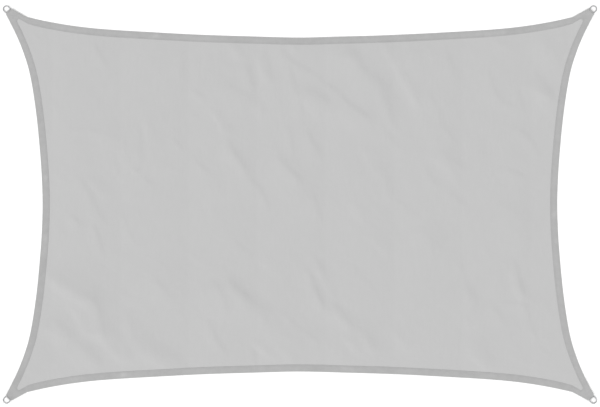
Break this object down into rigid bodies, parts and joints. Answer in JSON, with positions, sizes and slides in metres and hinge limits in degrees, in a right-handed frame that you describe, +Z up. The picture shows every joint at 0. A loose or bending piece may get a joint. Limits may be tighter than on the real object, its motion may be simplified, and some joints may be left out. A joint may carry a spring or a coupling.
{
  "type": "shade sail",
  "caption": "Rectangular knitted shade sail with inward-curving hemmed sides and a steel D-ring on a webbing loop at each corner, lying flat with low creases.",
  "frame": {"origin": "middle of the sail, on the surface that it lies on", "axes": "+X along the long sides, +Y along the short sides, +Z up from the cloth's face"},
  "size_m": [3.0352, 2.0352, 0.0118],
  "materials": {
    "cloth": "matte knitted mesh",
    "webbing": "matte woven tape",
    "steel": "smooth"
  },
  "bodies": {
    "root": {"sail_cloth": "cloth", "corner_loop_ne": "webbing", "corner_loop_nw": "webbing", "corner_loop_sw": "webbing", "corner_loop_se": "webbing", "corner_ring_ne": "steel", "corner_ring_nw": "steel", "corner_ring_sw": "steel", "corner_ring_se": "steel"}
  },
  "joints": []
}
